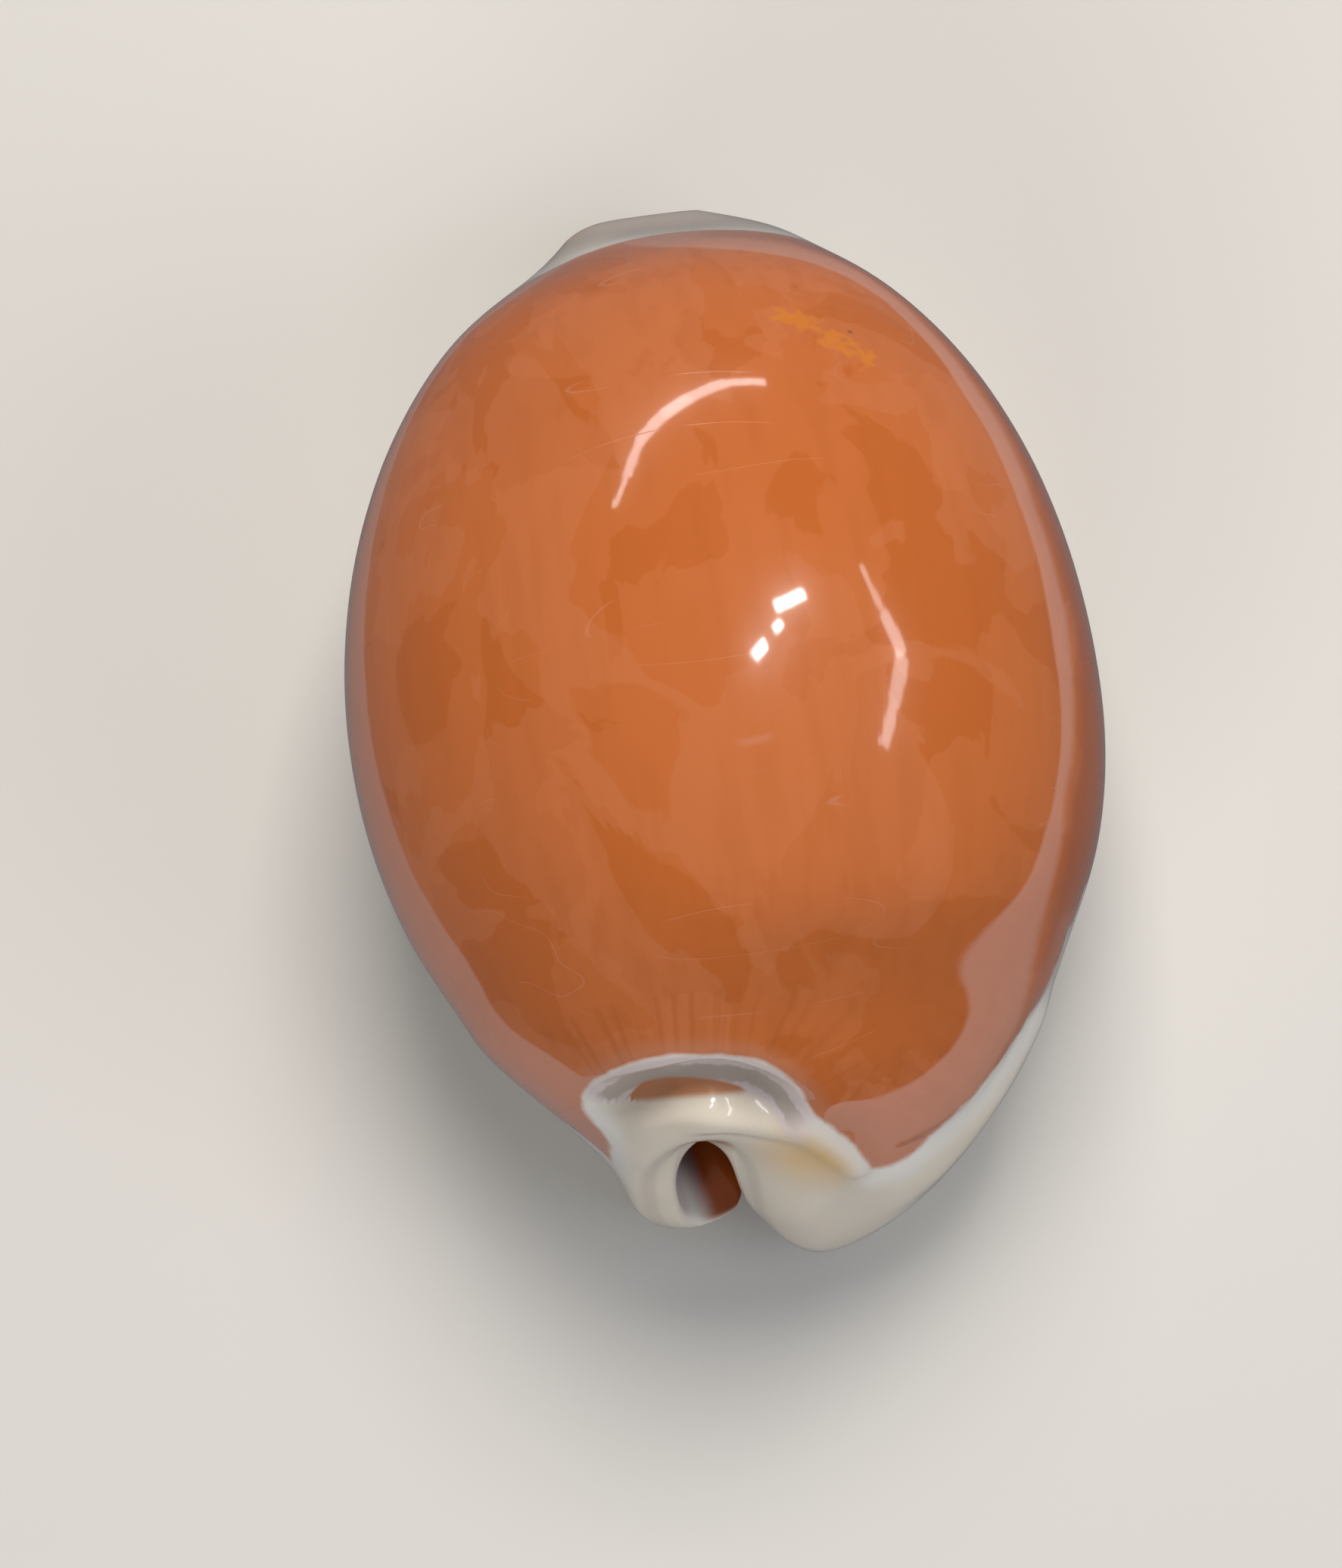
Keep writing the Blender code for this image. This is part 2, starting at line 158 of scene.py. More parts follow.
# Teeth of each lip: first and last y, how many, height, reach on the base and up the lip
OUTER_LIP_TEETH = (-36.0, 41.0, 27, 1.1, 3.6, 0.85)
INNER_LIP_TEETH = (-35.0, 40.0, 24, 0.9, 1.4, 1.0)
FURROW = 0.62               # share of a tooth's height that the furrows lie below the lip

# Fineness
ROWS = 240
COLUMNS = 150
TOOTHED_COLUMNS = 40        # columns beside each lip that its teeth may reach
ROLL = 14                   # steps round the edge of a lip

# Lines of the colouring, as points on the shell: the edge of the orange with the rear callus,
# from the left flank round the spire pit and along the outer lip, and the amber streak
ORANGE_EDGE = (
    (-15.2, -38.6, 15.5), (-14.9, -37.4, 20.0), (-14.9, -36.6, 23.6), (-15.9, -35.1, 25.8),
    (-16.6, -34.0, 27.6), (-15.9, -33.2, 30.2), (-14.6, -32.9, 32.9), (-13.3, -32.8, 34.7),
    (-12.0, -32.6, 36.2), (-9.4, -32.6, 37.4), (-6.2, -32.9, 37.6), (-2.8, -33.5, 36.8),
    (-0.9, -34.2, 35.9), (1.0, -35.5, 33.7), (1.9, -36.9, 31.0), (2.4, -37.9, 29.9),
    (3.3, -38.6, 28.5), (4.5, -39.4, 26.0), (5.4, -40.2, 24.0), (6.2, -41.1, 21.7),
    (6.7, -41.7, 19.6), (7.8, -41.7, 18.2), (9.9, -41.0, 17.4), (12.4, -39.2, 17.6),
    (15.9, -36.8, 17.9), (19.6, -33.2, 18.0), (22.2, -30.2, 18.3), (23.8, -28.3, 18.5),
    (24.9, -26.6, 19.0), (26.5, -23.5, 20.0),
)
AMBER_STREAK = ((8.9, 27.9, 40.8), (11.0, 26.9, 41.0), (13.3, 25.2, 41.2), (15.7, 22.9, 41.2))
WARM_SPOT = (3.6, -41.5, 25.0)          # middle of the warm tint in the rear callus
SHOULDER_SPOT = (-9.0, 44.5, 9.5)       # middle of the same tint beside the front canal
# Height at which the orange ends on each flank: places along the shell, then the heights there
LEFT_FLANK = ((-36, -24, -8, 20, 36, 44), (16.5, 15.0, 13.0, 10.5, 10.0, 11.0))
RIGHT_FLANK = ((-26, -22, -20, -12, -2, 12, 44), (12.0, 18.8, 19.4, 16.6, 13.4, 11.4, 11.0))
# In front the orange ends on a bow across the view: its top, how fast it falls off to the
# sides, the x of its top, and how crisp the edge is there
FRONT_BOW = (45.6, 0.016, 1.0, 3.0)
CORNER = 3.0                # how softly the flank's edge turns into the front one
# Upward part of the surface's direction at which the painted reflection down the flanks ends below
LEFT_REFLECTION_FOOT = ((0, 18), (0.0, 0.34))
RIGHT_REFLECTION_FOOT = ((-36, -15, 0), (0.2, 0.43, 0.38))
FAR = 20.0                  # stands for a measure at points that it doesn't reach
VIEW_HEIGHT = math.radians(78)          # the view that the lines of the colouring follow


def rise(x, low, high):
    """Smooth step from 0 at low to 1 at high."""
    t = np.clip((x - low) / (high - low), 0, 1)
    return t * t * (3 - 2 * t)


def unit(v):
    """Vectors of the same directions and of length 1."""
    return v / np.maximum(np.linalg.norm(v, axis=-1, keepdims=True), 1e-12)


def slot_centre(y):
    """The slot bows to the right at mid-length and turns left at both ends."""
    x = SLOT_X
    for start, length, off, most in SLOT_TURNS:
        x = x - off * np.clip((y - start) / length, 0, most) ** 2
    return x


def body_row(c, inset, lip_z, lip_half):
    """Guide points of one row of the egg, c running from -1 behind to 1 in front."""
    y = EGG_MIDDLE + (HALF_LENGTH - END_INSET * inset) * c + ENDS_FORWARD * c * c
    round_off = np.sqrt(1 - c * c)
    half = (HALF_WIDTH - inset) * round_off
    narrowed = 1 - RIGHT_NARROWING * rise(c, -0.5, 0.2)
    right = half if inset else (half + RIGHT_SWELL) * narrowed
    level = SIDE_HEIGHT + INNER_RISE * inset
    side = level - SIDE_DROP * c * c
    top = level - FRONT_DROP * c * c * (c > 0)
    top += (BACK_HEIGHT - inset) * round_off ** (BACK_COURSE[0] + BACK_COURSE[1] * c)
    middle = TOP_X if inset else TOP_LEAN * (c - 0.1) + TOP_X
    centre = slot_centre(y)
    left_lip = (centre - lip_half, y, lip_z(y))
    right_lip = (centre + lip_half, y, lip_z(y))
    return left_lip, (-half, y, side), (middle, y, top), (right, y, side), right_lip, 2.0, 2.0


def outer_row(c):
    """One row of the outside, whose lips lift a little towards both ends."""
    return body_row(c, 0.0, lambda y: 0.0004 * y * y, SLOT_HALF)


def inner_row(c):
    """One row of the lining, a wall's thickness further in."""
    return body_row(c, WALL, lambda y: LIP_DEPTH, SLOT_HALF - 0.2)


def quarter(start, corner, end, full):
    """Points along a quarter of a superellipse, from start towards end, without the end."""
    a = np.linspace(0, np.pi / 2, QUARTER, endpoint=False)[:, None]
    start, corner, end = (np.asarray(p, float) for p in (start, corner, end))
    from_start, from_end = np.sin(a) ** (2 / full), np.cos(a) ** (2 / full)
    return corner + (start - corner) * (1 - from_start) + (end - corner) * (1 - from_end)


def ring(left_lip, left_side, top, right_side, right_lip, left_full, right_full):
    """One row, from the left lip under the side, over the back and down to the right lip."""

    def corners(side, lip):
        lean = (top[1] - side[1]) / (top[2] - side[2])
        return (side[0], top[1], top[2]), (side[0], side[1] - lean * (side[2] - lip[2]), lip[2])

    up_left, low_left = corners(left_side, left_lip)
    up_right, low_right = corners(right_side, right_lip)
    return np.concatenate([
        quarter(left_lip, low_left, left_side, LOW_FULL),
        quarter(left_side, up_left, top, left_full),
        quarter(top, up_right, right_side, right_full),
        quarter(right_side, low_right, right_lip, LOW_FULL),
        [right_lip],
    ])


def net(posterior, row, anterior, first, last):
    """All guide points of a sheet, from the posterior rows over the egg to the anterior ones."""
    middle = [row(c) for c in np.linspace(first, last, MIDDLE_ROWS)]
    return np.array([ring(*guide) for guide in [*posterior, *middle, *anterior]])


def fair(points):
    """Control points whose smooth line passes close to the given ones."""
    out = points.copy()
    out[1:-1] -= (points[:-2] - 2 * points[1:-1] + points[2:]) / 6
    return out


def spline(points, at):
    """Even cubic B-spline along the first axis, through its end points."""
    ahead, behind = 2 * points[0] - points[1], 2 * points[-1] - points[-2]
    points = np.concatenate([[ahead], points, [behind]])
    i = np.minimum(at.astype(int), len(points) - 4)
    f = (at - i).reshape((-1,) + (1,) * (points.ndim - 1))
    w = ((1 - f) ** 3, 3 * f**3 - 6 * f**2 + 4, -3 * f**3 + 3 * f**2 + 3 * f + 1, f**3)
    return sum(w[k] * points[i + k] for k in range(4)) / 6


def sheet(grid, rows, columns):
    """Smooth sheet on a net of guide points, at the given row and column places."""
    done = spline(fair(grid), rows)
    done = spline(fair(np.swapaxes(done, 0, 1)), columns)
    return np.swapaxes(done, 0, 1)


def spaced(last, count, weight):
    """Places from 0 to last, closer together where weight is larger."""
    fine = np.linspace(0, last, 2001)
    w = weight(fine)
    total = np.concatenate([[0], np.cumsum((w[1:] + w[:-1]) / 2)])
    return np.interp(np.linspace(0, total[-1], count), total, fine)


def row_places(last):
    """Even steps along the slot, finer round the notch and the front canal."""
    rows, guides = [0, 1, 3, 5, last - 3, last - 1, last], np.arange(last + 1)
    dense = np.interp(guides, rows, [9, 12, 15, 16, 16, 10, 7])
    return spaced(last, ROWS, lambda u: np.interp(u, guides, dense))


def column_places(last):
    """Finer at the lips and along the back."""

    def weight(v):
        lips = np.exp(-((v / 1.5) ** 2)) + np.exp(-(((last - v) / 1.5) ** 2))
        return 0.8 + 1.4 * lips + 0.5 * np.exp(-(((v - last / 2) / 3) ** 2))

    return spaced(last, COLUMNS, weight)


def sheet_normals(p, up):
    """Normals of a sheet of points, the one in the middle facing up or down."""
    n = unit(np.cross(np.gradient(p, axis=1), np.gradient(p, axis=0)))
    return n * np.sign(n[ROWS // 2, COLUMNS // 2, 2]) * up


def line_distance(points, line):
    """Distance of each point from a line of short segments, and the share along it."""
    best = np.full(len(points), np.inf)
    place = np.zeros(len(points))
    for k in range(len(line) - 1):
        a, d = line[k], line[k + 1] - line[k]
        t = np.clip(((points - a) @ d) / (d @ d), 0, 1)
        gap = np.linalg.norm(points - (a + t[:, None] * d), axis=1)
        near = gap < best
        best[near] = gap[near]
        place[near] = (k + t[near]) / (len(line) - 1)
    return best, place


def stroke(points, normals, stops, radius, height, fade):
    """Push a sheet in or out along a smooth line, whose stops are first put on the sheet."""
    flat = points.reshape(-1, 3)
    stops = np.array([flat[np.linalg.norm(flat - stop, axis=1).argmin()] for stop in stops])
    line = spline(fair(stops), np.linspace(0, len(stops) - 1, 40))
    distance, place = line_distance(flat, line)
    push = np.clip(1 - (distance / radius) ** 2, 0, None) ** 3
    push *= height * rise(np.minimum(place, 1 - place), 0, fade)
    return points + normals * push.reshape(points.shape[:2] + (1,))


def belly(points):
    """Bulge the base down a little beside the slot, less towards the ends."""
    out = points.copy()
    for column, bulge in zip((0, -1), BELLY):
        off = np.linalg.norm(points - points[:, [column]], axis=2)
        low = rise(-points[:, :, 2], -6, -2) * np.exp(-(((off - BELLY_FROM_SLOT) / 5) ** 2))
        out[:, :, 2] -= bulge * low * (1 - rise(np.abs(points[:, :, 1]), 24, 38))
    return out


def border():
    """Row and column of the points round the edge of a sheet."""
    r, c = np.arange(ROWS), np.arange(COLUMNS)
    rows = [r, np.full(COLUMNS - 1, ROWS - 1), r[-2::-1], np.zeros(COLUMNS - 2, int)]
    columns = [np.zeros(ROWS, int), c[1:], np.full(ROWS - 1, COLUMNS - 1), c[-2:0:-1]]
    return np.concatenate(rows), np.concatenate(columns)


def edge_directions(points, normals, r, c):
    """Direction off the sheet at each point of its edge, evened out along the edge."""
    edge = points[r, c]
    off = unit(np.cross(normals[r, c], np.roll(edge, -1, 0) - np.roll(edge, 1, 0)))
    inside = points[np.clip(r, 2, ROWS - 3), np.clip(c, 2, COLUMNS - 3)]
    off *= np.sign(((edge - inside) * off).sum(1).mean())
    for _ in range(80):
        off = (np.roll(off, 1, 0) + 2 * off + np.roll(off, -1, 0)) / 4
    return unit(off)


def rolled_edge(outer, outer_off, inner, inner_off):
    """Rings of points that carry the outer sheet round the edge into the inner one."""
    reach = 0.6 * np.linalg.norm(inner - outer, axis=1)[:, None]
    rings = []
    for x in np.linspace(0, 1, ROLL + 2)[1:-1]:
        w = ((1 - x) ** 3, 3 * x * (1 - x) ** 2, 3 * x * x * (1 - x), x**3)
        start = w[0] * outer + w[1] * (outer + outer_off * reach)
        rings.append(start + w[2] * (inner + inner_off * reach) + w[3] * inner)
    return np.array(rings)


def faces(index, flip):
    """Four-sided faces of a grid of point numbers."""
    corners = [index[:-1, :-1], index[:-1, 1:], index[1:, 1:], index[1:, :-1]]
    quads = np.stack(corners, -1).reshape(-1, 4)
    return quads[:, ::-1] if flip else quads


def point_normals(points, quads):
    """Normal at each point, evened out over the faces that meet there."""
    a, b, c, d = (points[quads[:, k]] for k in range(4))
    n = np.cross(c - a, d - b)
    total = np.zeros_like(points)
    for k in range(4):
        for axis in range(3):
            total[:, axis] += np.bincount(quads[:, k], n[:, axis], len(points))
    return unit(total)


def tooth_rise(y, first, last, count, height):
    """Height of the teeth and of the furrows between them at y."""
    turn = (y - first) / (last - first) * count
    ridge = (0.5 - 0.5 * np.cos(2 * np.pi * turn)) ** 1.4
    return height * (ridge - FURROW) * rise(y, first, first + 5) * rise(-y, -last, -last + 5)


def teeth(outer, outer_index, loops, r, c):
    """How far each point moves along its normal to make the teeth of both lips."""
    push = np.zeros(loops.max() + 1)
    along = np.linspace(0, 1, len(loops))[:, None]
    for lip, column, step in ((INNER_LIP_TEETH, 0, 1), (OUTER_LIP_TEETH, COLUMNS - 1, -1)):
        *rule, reach, depth = lip
        on = np.nonzero(c == column)[0]
        rows = r[on]
        tooth = tooth_rise(outer[rows, column, 1], *rule)
        push[loops[:, on]] = tooth * (1 - rise(along, depth - 0.35, depth + 0.15))
        for k in range(1, TOOTHED_COLUMNS):
            there = column + step * k
            away = np.linalg.norm(outer[rows, there] - outer[rows, column], axis=1)
            push[outer_index[rows, there]] = tooth * (1 - rise(away, 0.2 * reach, reach))
    return push


def centred(points):
    """Move the shell so that its box is centred over the origin and its flats lie at z = 0."""
    low, high = points.min(0), points.max(0)
    return points - ((low[0] + high[0]) / 2, (low[1] + high[1]) / 2, low[2] + FLAT_DEPTH)


def outer_and_inner():
    """The outer and the inner sheet with every groove in place, and the outer one's normals."""
    outer_net = net(OUTER_POSTERIOR, outer_row, OUTER_ANTERIOR, -0.60, 0.80)
    inner_net = net(INNER_POSTERIOR, inner_row, INNER_ANTERIOR, -0.56, 0.80)
    rows = row_places(outer_net.shape[0] - 1)
    columns = column_places(outer_net.shape[1] - 1)
    outer, inner = sheet(outer_net, rows, columns), sheet(inner_net, rows, columns)
    normals = sheet_normals(outer, 1)
    outer = belly(outer)
    for groove in (CALLUS_EDGE, SPIRE_PIT, CREST, MARGIN):
        outer = stroke(outer, normals, *groove)
    return outer, inner, normals


def shell_sheets():
    """Points of the shell, their numbers in the outer, inner and lip grids, and their zones."""
    outer, inner, normals = outer_and_inner()
    r, c = border()
    outer_off = edge_directions(outer, normals, r, c)
    inner_off = edge_directions(inner, sheet_normals(inner, 1), r, c)
    band = rolled_edge(outer[r, c], outer_off, inner[r, c], inner_off)
    points = np.concatenate([part.reshape(-1, 3) for part in (outer, inner, band)])
    size = ROWS * COLUMNS
    outer_index = np.arange(size).reshape(ROWS, COLUMNS)
    inner_index = outer_index + size
    between = 2 * size + np.arange(ROLL * len(r)).reshape(ROLL, len(r))
    loops = np.concatenate([outer_index[r, c][None], between, inner_index[r, c][None]])
    closed = np.concatenate([loops, loops[:, :1]], 1)
    quads = [faces(outer_index, False), faces(inner_index, True), faces(closed, False)]
    along_normal = point_normals(points, np.concatenate(quads))
    if along_normal[outer_index[ROWS // 2, COLUMNS // 2], 2] < 0:
        along_normal = -along_normal
    push = np.zeros(len(points))
    toothed = teeth(outer, outer_index, loops, r, c)
    push[: len(toothed)] = toothed
    zones = zone_values(points, along_normal, push, size)
    points = centred(points + along_normal * push[:, None])
    points[:, 2] = np.maximum(points[:, 2], 0)
    return points, (outer_index, inner_index, closed), zones


def in_view(points):
    """Places of points across and up the view that the colouring was read in."""
    up = points[:, 1] * math.sin(VIEW_HEIGHT) + points[:, 2] * math.cos(VIEW_HEIGHT)
    return np.stack([points[:, 0], up], 1)


def side_of_line(points, stops, fine):
    """Distance from a line as seen in the view, positive on its left, and the share along it."""
    line = spline(fair(np.array(stops)), np.linspace(0, len(stops) - 1, fine))
    line, seen = in_view(line), in_view(points)
    distance, place = line_distance(seen, line)
    at = place * (len(line) - 1)
    k = np.minimum(at.astype(int), len(line) - 2)
    on_line = line[k] + (at - k)[:, None] * (line[k + 1] - line[k])
    way, off = line[k + 1] - line[k], seen - on_line
    side = way[:, 0] * off[:, 1] - way[:, 1] * off[:, 0]
    return distance * np.where(side < 0, -1, 1), place


def inside_orange(points, rear):
    """How far inside the orange back each point lies, and below 0 on the cream callus."""
    x, y, z = points.T
    level = z - np.where(x < 0, np.interp(y, *LEFT_FLANK), np.interp(y, *RIGHT_FLANK))
    top, fall, middle, crisp = FRONT_BOW
    front = crisp * (top - fall * (x - middle) ** 2 - in_view(points)[:, 1])
    flank_and_front = -CORNER * np.logaddexp(-level / CORNER, -front / CORNER)
    return np.minimum(rear, np.maximum(flank_and_front, -FAR))


def lining_share(count, size):
    """0 on the outer sheet, 1 on the lining, and rising from ring to ring of the band between."""
    share = np.zeros(count)
    share[size : 2 * size] = 1
    ring = 2 * (ROWS + COLUMNS) - 4
    share[2 * size :] = (np.arange(count - 2 * size) // ring + 1) / (ROLL + 1)
    return share


def tooth_ridge(points, push):
    """1 on the crest of a tooth and 0 in a furrow."""
    on_outer_lip = points[:, 0] > slot_centre(points[:, 1])
    height = np.where(on_outer_lip, OUTER_LIP_TEETH[3], INNER_LIP_TEETH[3])
    return np.where(np.abs(push) > 0.02, np.clip(push / height + FURROW, 0, 1), 0)


def zone_values(points, normals, push, size):
    """What the colouring needs to know at each point, as named numbers, most in millimetres."""
    x, y, z = points.T
    # The line tells orange from callus only behind y = -20 and above the base; elsewhere a point
    # counts as far behind it or far in front of it
    rear, along = side_of_line(points, ORANGE_EDGE, 200)
    rear = np.where((y < -20) & (z > 5), rear, FAR * np.sign(y + 30))
    streak = np.abs(side_of_line(points, AMBER_STREAK, 40)[0])
    # The left flank counts as a little less steep, so that its painted reflection starts lower
    # down
    steepness = normals[:, 2] + 0.1 * rise(-x, -8, 8)
    reflection_foot = np.where(x > 0, np.interp(y, *RIGHT_REFLECTION_FOOT), np.interp(y, *LEFT_REFLECTION_FOOT))
    notch_rim = points[:COLUMNS]
    near = np.nonzero((y < -30) & (z > 2))[0]
    notch_gap = np.full(len(points), FAR)
    notch_gap[near] = line_distance(points[near], notch_rim)[0]
    inside = lining_share(len(points), size)
    # The wall between the notch and its left lobe leans across the shell
    across_notch = x + 0.25 * (y + 40)
    return {
        "orange": inside_orange(points, rear),
        "pit_depth": np.where((y < -28) & (z > 14), -rear, -FAR),
        "pit_along": along,
        "streak": np.where(z < 30, FAR, streak),
        "steepness": steepness,
        "above_foot": steepness - reflection_foot,
        "front_tip": y,
        "shoulder": np.linalg.norm(points - SHOULDER_SPOT, axis=1),
        "warmth": np.linalg.norm(points - WARM_SPOT, axis=1),
        "notch_gap": notch_gap,
        "notch_wall": rise(-y, 27, 31) * rise(inside, 0.4, 0.7) * rise(across_notch, -9.4, -7.0),
        "lobe": rise(-y, 30, 35) * (1 - rise(across_notch, -9.4, -7.4)),
        "tooth": tooth_ridge(points, push),
        "inside": inside,
    }


def srgb(text):
    """A hex colour as the linear numbers that the shader wants."""
    parts = [int(text[k : k + 2], 16) / 255 for k in (1, 3, 5)]
    return tuple(p / 12.92 if p <= 0.04045 else ((p + 0.055) / 1.055) ** 2.4 for p in parts)


class CowrieSizes(bpy.types.PropertyGroup):
    rest_line: bpy.props.FloatProperty(
        name="Rest line", description="Height that the flats of the base lie at",
        default=0.0, unit="LENGTH")
    camera_distance: bpy.props.FloatProperty(
        name="Camera distance", description="From the camera to the shell",
        default=0.6, min=0.3, unit="LENGTH")
    camera_height: bpy.props.FloatProperty(
        name="Camera elevation", description="How high above the horizon the camera looks from",
        default=math.radians(78), subtype="ANGLE")
    camera_roll: bpy.props.FloatProperty(
        name="Camera roll", description="How far the shell leans to the left in view",
        default=math.radians(8), subtype="ANGLE")


def swatch(name, description, text):
    """One user-set colour."""
    return bpy.props.FloatVectorProperty(
        name=name, description=description, default=srgb(text), subtype="COLOR", size=3,
        min=0, max=1)


class CowrieColours(bpy.types.PropertyGroup):
    back_deep: swatch("Deep back", "Deep orange enamel of the back", "#BF652A")
    # Painted reflections: the paler and the pinker patches over the deep orange
    back_pale_reflection: swatch("Film", "Paler films over the deep orange", "#C56C35")
    back_pink_reflection: swatch("Blush", "Pinker films", "#CC784B")
    back_line: swatch("Growth lines", "Darker growth lines of the flanks", "#B05C22")
    # Painted reflection: the pale pinkish band down the flanks, whose colour the hairline
    # scratches share too, and the browner painted dark reflection below it
    flank_reflection_and_scratches: swatch("Flank film", "Pale pinkish film down the flanks", "#D39A86")
    flank_dark_reflection: swatch("Low flank", "Browner enamel below the flank film", "#A85220")
    amber: swatch("Amber", "Yellower streak near the front", "#D5801C")
    speck: swatch("Specks", "Pits where grit was caught", "#7A4A30")
    blush_edge: swatch("Edge of the orange", "Orange next to the callus", "#C08468")
    cream: swatch("Cream", "Base and canals", "#DED4C4")
    cream_cool: swatch("Cool cream", "Greyer clouds in the cream", "#CFC6BA")
    milk: swatch("Milk", "Whiter callus next to the orange", "#E9E6E2")
    buff: swatch("Buff", "Warm tint in the rear callus", "#DDB67A")
    tip: swatch("Front tip", "Greyer lip of the front canal", "#9F9290")
    lilac: swatch("Lilac", "Rim of the spire pit", "#D3C6C4")
    # Slate is also the painted shade in the groove round the rim of the notch
    slate_and_groove_shade: swatch("Slate", "Grey band in the spire pit", "#B4A89E")
    russet: swatch("Russet", "Floor of the spire pit", "#BC8058")
    tooth: swatch("Teeth", "Crests of the teeth", "#D07A3C")
    notch: swatch("Notch wall", "Deep wall of the rear notch", "#94461C")
    inside: swatch("Inside", "Lining of the hollow", "#DCD5DA")


def add_node(tree, kind, values=None, output=0, **settings):
    """Add a node with its settings and links, and give its output. Each value is a number, a
    colour or the socket that feeds it."""
    node = tree.nodes.new(kind)
    for name, value in settings.items():
        setattr(node, name, value)
    for name, value in (values or {}).items():
        socket = node.inputs[name]
        if isinstance(value, bpy.types.NodeSocket):
            tree.links.new(value, socket)
        else:
            socket.default_value = value
    return node.outputs[output]


# Noise over the shell: how many to the metre, detail, stretch along X, Y and Z, turn about Z
# (radians), roughness and twist
EVEN = (1.0, 1.0, 1.0)
PATTERNS = {
    "pale_reflection_patches": (96.0, 5.0, (1.0, 0.8, 0.7), 0.7, 0.45, 0.5),           # torn painted reflections, 10 mm across
    "pink_reflection_patches": (64.0, 4.0, (1.0, 0.7, 0.7), 0.5, 0.45, 0.9),          # pinker ones, 15 mm across
    "growth": (520.0, 2.0, (1.0, 0.045, 0.6), 0.0, 0.5, 0.0),       # growth lines, 2 mm apart
    "scratch": (240.0, 0.0, (0.05, 1.0, 1.0), 0.2, 0.5, 0.0),       # course of the hairlines
    "scratched": (90.0, 1.0, EVEN, 0.0, 0.5, 0.0),                  # where they are
    "cloud": (75.0, 2.0, EVEN, 0.0, 0.5, 0.0),                      # clouds in the cream, 13 mm
    "ripple": (120.0, 1.0, EVEN, 0.0, 0.5, 0.0),                    # low swells of the gloss, 8 mm
    "flank_reflection_wave": (130.0, 4.0, EVEN, 0.0, 0.5, 0.0),                 # and how edges wander
    "foot_wave": (150.0, 4.0, EVEN, 0.0, 0.5, 0.0),
    "edge_wave": (420.0, 3.0, EVEN, 0.0, 0.5, 0.0),
    "fine_wave": (900.0, 3.0, EVEN, 0.0, 0.5, 0.0),
}
CREASES = 85.0              # creases to the whole length of the orange's edge
GRIT_PER_METRE = 55.0       # cells that may hold a grit pit
# Measures worked out from others: name, operation, and two measures or numbers
WORKED_OUT = (
    ("off_scratch", "SUBTRACT", "scratch", 0.5),
    ("off_scratch", "ABSOLUTE", "off_scratch", 0.0),
    ("off_pit_middle", "SUBTRACT", "pit_along", 0.31),
    ("pit_taper", "MULTIPLY", "off_pit_middle", "off_pit_middle"),
    ("pit_taper", "MULTIPLY", "pit_taper", 110.0),
    ("floor_top", "SUBTRACT", "pit_depth", "pit_taper"),
    ("floor_foot", "ADD", "pit_depth", "pit_taper"),
)
# Measures whose edges wander: name, measure, noise that it follows, and how far to each side
WANDERING = (
    ("wavy_streak", "streak", "fine_wave", 2.0),
    ("wavy_steepness", "steepness", "flank_reflection_wave", 0.022),
    ("wavy_foot", "above_foot", "foot_wave", 0.03),
    ("wavy_edge", "orange", "edge_wave", 0.35),
    ("torn_depth", "pit_depth", "fine_wave", 0.35),
)

# Colour is laid on in layers: the colour, how strong it is, and its limits. A limit is a
# measure, where the layer starts and where it is full. Scratches are drawn about 0.1 mm wide,
# wider than real ones, so that they show.
GROWTH_LINES = ("growth", 0.42, 0.72)
SCRATCHES = (("off_scratch", 0.008, 0.0), ("scratched", 0.56, 0.62))
BACK_LAYERS = (
    # Painted reflections: paler and pinker patches with crisp torn edges
    ("back_pale_reflection", 1.0, ("pale_reflection_patches", 0.476, 0.49)),
    ("back_pink_reflection", 0.42, ("pink_reflection_patches", 0.5, 0.51)),
    # Growth lines along the shell, fainter over the top of the back, and creases at the pit
    ("back_line", 0.3, GROWTH_LINES, ("orange", 34.0, 10.0)),
    ("back_line", 0.5, ("crease", 0.46, 0.66), ("pit_depth", -13.0, -2.0)),
    ("amber", 0.6, ("wavy_streak", 0.9, 0.1)),
    # Painted reflection: a pale band down both flanks with a wavy crisp inner edge, and a browner
    # painted dark reflection below it
    ("flank_reflection_and_scratches", 0.62, ("wavy_steepness", 0.49, 0.47), ("wavy_foot", -0.03, 0.03)),
    ("flank_dark_reflection", 0.8, ("wavy_foot", 0.0, -0.1)),
    # Hairline scratches in the pale colour of the painted flank reflection
    ("flank_reflection_and_scratches", 0.25, *SCRATCHES),
    # Pits where grit was caught, 0.3 mm across, in nearly half of the cells
    ("speck", 0.7, ("grit", 0.02, 0.008), ("grit_pick", 0.55, 0.56)),
    # Towards the callus the orange greys and pinkens over the last 2 mm
    ("blush_edge", 0.5, ("orange", 2.2, 0.4)),
)
CALLUS_LAYERS = (
    ("cream_cool", 1.0, ("cloud", 0.45, 0.7)),
    ("buff", 0.9, ("warmth", 9.5, 1.0)),
    # Painted shade: a grey line follows the groove round the rim of the notch
    ("slate_and_groove_shade", 0.35, ("notch_gap", 0.5, 1.1), ("notch_gap", 2.6, 1.6)),
    # Whiter next to the orange, except at the grey lip of the front canal
    ("milk", 0.8, ("wavy_edge", -2.6, -0.3), ("at_tip", 1.0, 0.0)),
    ("tip", 0.7, ("front_tip", 41.0, 44.5)),
    ("buff", 0.6, ("shoulder", 5.0, 0.5)),
)
ORANGE_BEGINS = ("wavy_edge", -0.15, 0.45)
